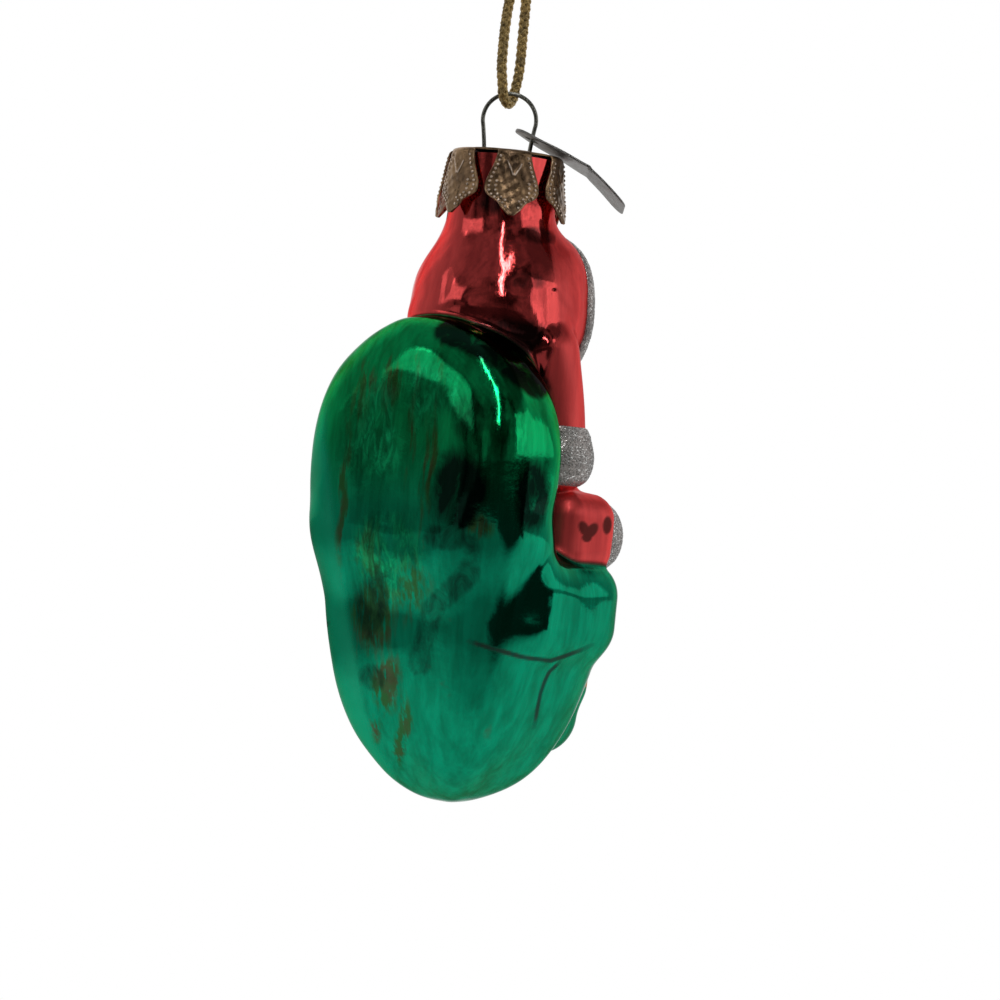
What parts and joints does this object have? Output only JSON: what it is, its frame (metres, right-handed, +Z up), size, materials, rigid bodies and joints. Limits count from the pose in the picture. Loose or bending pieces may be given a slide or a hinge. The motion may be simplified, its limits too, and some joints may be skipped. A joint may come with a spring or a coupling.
{
  "type": "hanging glass ornament",
  "caption": "Blown-glass Santa seated in a green wing armchair, with a petalled crown cap, wire ring, small sheet tag and gold cord.",
  "frame": {"origin": "hang point: the crotch of the cord loop under its knot, on the axis of the cap", "axes": "+Z up along the axis of the cap; the figure faces -Y"},
  "size_m": [0.0378, 0.0377, 0.1258],
  "materials": {
    "lacquered_glass": "gloss",
    "antique_gold_cap": "satin",
    "ring_steel": "satin",
    "tag_metal": "satin",
    "gold_cord": "matte",
    "silver_glitter": "matte"
  },
  "bodies": {
    "hanging_loop": {"cord_loop": "gold_cord", "cord_knot": "gold_cord"},
    "cap_assembly": {"wire_loop": "ring_steel", "crown_cap": "antique_gold_cap"},
    "tag": {"hang_tag": "tag_metal"},
    "figure": {"glass_body": "lacquered_glass", "hood_trim_glitter": "silver_glitter", "left_cuff_glitter": "silver_glitter", "right_cuff_glitter": "silver_glitter", "coat_hem_glitter": "silver_glitter"}
  },
  "joints": [
    {"name": "ring_swing", "type": "hinge", "parent": "hanging_loop", "child": "cap_assembly", "pos_m": [0, 0, -0.0173], "axis": [-0.766, -0.6428, 0], "range_deg": [-60, 60]},
    {"name": "tag_swing", "type": "hinge", "parent": "cap_assembly", "child": "tag", "pos_m": [-0.00258, -0.00217, -0.02325], "axis": [-0.6428, 0.766, 0], "range_deg": [0, 75]},
    {"name": "neck_pull", "type": "slide", "parent": "cap_assembly", "child": "figure", "axis": [0, 0, -1], "range_m": [0, 0.016]}
  ]
}
